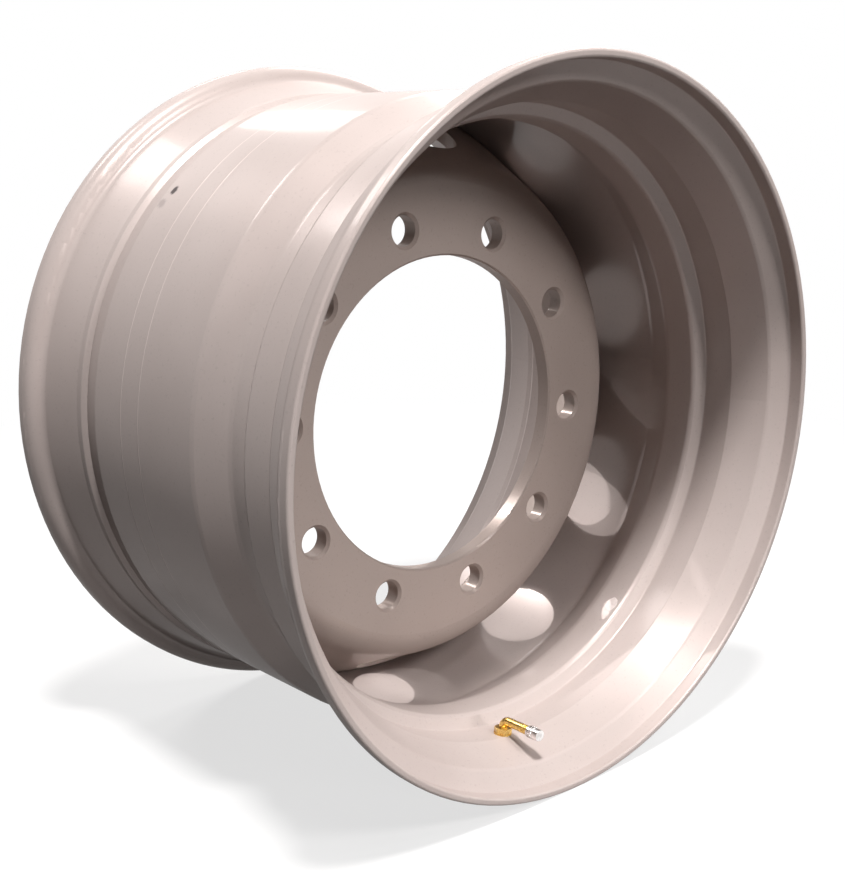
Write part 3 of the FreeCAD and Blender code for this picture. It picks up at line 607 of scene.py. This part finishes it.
def make_weld_scales():
    inputs = {"Count": WELD_SCALES, "Radius": WELD_RADIUS, "Place": WELD_PLACE}
    tree = ring_tree("weld_scales", inputs, weld_scale, MATERIALS["disc_paint"])
    piece = grow("weld_scales", tree, inputs)
    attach(piece, "wheel")


# Cap: fine ribs around its side
CAP_RIBS = 28
CAP_RIB_LENGTH = 0.006
CAP_RIB_RADIUS = 0.00028
CAP_RIB_MIDDLE = CAP_MOUTH - 0.0045
CAP_RIB_SIDES = 8


def cap_rib(tree):
    rod = tree.nodes.new("GeometryNodeMeshCylinder")
    rod.inputs["Vertices"].default_value = CAP_RIB_SIDES
    rod.inputs["Radius"].default_value = CAP_RIB_RADIUS
    rod.inputs["Depth"].default_value = CAP_RIB_LENGTH
    shape = tree.nodes.new("GeometryNodeTransform")
    shape.inputs["Rotation"].default_value = (math.pi / 2, 0, 0)
    tree.links.new(rod.outputs[0], shape.inputs[0])
    return shape.outputs[0]


def make_cap_ribs():
    inputs = {"Count": CAP_RIBS, "Radius": CAP_RADIUS, "Place": CAP_RIB_MIDDLE}
    tree = ring_tree("cap_ribs", inputs, cap_rib, MATERIALS["cap_plate"])
    place = BENCH_TO_WHEEL @ Matrix.Translation((0, 0, LEG_AXIS_RADIUS))
    piece = grow("cap_ribs", tree, inputs, place)
    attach(piece, "wheel")


# Coils: how many points a turn of the wire has, and how many sides the wire
COIL_TURN_POINTS = 40
COIL_WIRE_SIDES = 8


def make_coil(name, radius, length, turns, wire, inner_end, slot):
    """A round wire wound along the valve's leg, from its inner end towards the tip."""
    inputs = {"Radius": radius, "Length": length, "Turns": turns, "Wire": wire}
    tree, given, output = new_tree(name, inputs)
    nodes, links = tree.nodes, tree.links
    spiral = nodes.new("GeometryNodeCurveSpiral")
    spiral.inputs["Resolution"].default_value = COIL_TURN_POINTS
    links.new(given.outputs["Turns"], spiral.inputs["Rotations"])
    links.new(given.outputs["Radius"], spiral.inputs["Start Radius"])
    links.new(given.outputs["Radius"], spiral.inputs["End Radius"])
    links.new(given.outputs["Length"], spiral.inputs["Height"])
    section = nodes.new("GeometryNodeCurvePrimitiveCircle")
    section.inputs["Resolution"].default_value = COIL_WIRE_SIDES
    links.new(given.outputs["Wire"], section.inputs["Radius"])
    sweep = nodes.new("GeometryNodeCurveToMesh")
    sweep.inputs["Fill Caps"].default_value = True
    links.new(spiral.outputs[0], sweep.inputs[0])
    links.new(section.outputs[0], sweep.inputs[1])
    end_tree(tree, sweep.outputs[0], output, MATERIALS[slot])
    place = (
        BENCH_TO_WHEEL
        @ Matrix.Translation((0, inner_end, LEG_AXIS_RADIUS))
        @ Matrix.Rotation(math.pi / 2, 4, "X")
        @ Matrix.Rotation(math.pi / 2, 4, "Z")
    )
    piece = grow(name, tree, inputs, place)
    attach(piece, "wheel")
    return piece


# Stem: thread on the leg, up to the mouth of the cap
THREAD_PITCH = 0.0008
THREAD_LENGTH = 0.008
THREAD_RIDGE = 0.00024


def make_stem_thread():
    make_coil(
        "stem_thread", STEM_RADIUS, THREAD_LENGTH, THREAD_LENGTH / THREAD_PITCH, THREAD_RIDGE,
        CAP_MOUTH + THREAD_LENGTH, "brass",
    )


# Core spring, between the pin's collar and the floor of the core body
SPRING_COLLAR_END = STEM_TIP + 0.00275
SPRING_FLOOR_END = STEM_TIP + 0.00775
SPRING_WIRE = 0.00017
SPRING_RADIUS = 0.00115
SPRING_TURNS = 5.0


def make_core_spring():
    """The core's spring, built as a coil in place of the CAD spring, which is hidden."""
    free_length = SPRING_FLOOR_END - SPRING_COLLAR_END
    spring = make_coil(
        "spring_coil", SPRING_RADIUS, free_length - 2 * SPRING_WIRE, SPRING_TURNS, SPRING_WIRE,
        SPRING_FLOOR_END - SPRING_WIRE, "spring_steel",
    )
    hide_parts("core_spring")
    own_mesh(spring)


# Paint spot on the floor of the well, thinner at its ragged edge
SPOT_ANGLE = math.radians(-51.3)
SPOT_PLACE = -0.091
SPOT_RADIUS = 0.0062
SPOT_STRETCH = 1.35
SPOT_THICKNESS = 0.00015
SPOT_EDGE_SHARE = 0.3
SPOT_RINGS = 5
SPOT_STEPS = 40
WELL_RADIUS = 0.2518


def make_paint_spot():
    """A thin round patch that follows the well's inner face."""
    shape = bmesh.new()

    def layer(lift):
        rows = []
        for ring in range(1, SPOT_RINGS + 1):
            row = []
            for step in range(SPOT_STEPS):
                turn = 2 * math.pi * step / SPOT_STEPS
                ragged = 1 + 0.04 * math.sin(3 * turn + 1) + 0.025 * math.sin(7 * turn)
                reach = SPOT_RADIUS * ragged * ring / SPOT_RINGS
                angle = SPOT_ANGLE + SPOT_STRETCH * reach * math.cos(turn) / WELL_RADIUS
                radius = WELL_RADIUS - lift * (1 if ring < SPOT_RINGS else SPOT_EDGE_SHARE)
                row.append(shape.verts.new((
                    radius * math.cos(angle),
                    SPOT_PLACE + reach * math.sin(turn),
                    radius * math.sin(angle),
                )))
            rows.append(row)
        centre = shape.verts.new((
            (WELL_RADIUS - lift) * math.cos(SPOT_ANGLE),
            SPOT_PLACE,
            (WELL_RADIUS - lift) * math.sin(SPOT_ANGLE),
        ))
        for step in range(SPOT_STEPS):
            after = (step + 1) % SPOT_STEPS
            shape.faces.new((centre, rows[0][step], rows[0][after]))
            for low, high in zip(rows, rows[1:]):
                shape.faces.new((low[step], high[step], high[after], low[after]))
        return rows[-1]

    top = layer(SPOT_THICKNESS)
    bottom = layer(-SPOT_THICKNESS)
    for step in range(SPOT_STEPS):
        after = (step + 1) % SPOT_STEPS
        shape.faces.new((top[step], bottom[step], bottom[after], top[after]))
    bmesh.ops.recalc_face_normals(shape, faces=shape.faces)
    mesh = bpy.data.meshes.new("paint_spot")
    shape.to_mesh(mesh)
    shape.free()
    mesh.materials.append(spot_paint())
    spot = bpy.data.objects.new("paint_spot", mesh)
    bpy.context.scene.collection.objects.link(spot)
    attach(spot, "wheel")


bpy.context.scene.view_settings.view_transform = "Standard"
make_camera()
make_world()
make_floor()
make_lights()
dress_nodes()
make_weld_scales()
make_cap_ribs()
make_stem_thread()
make_core_spring()
make_paint_spot()
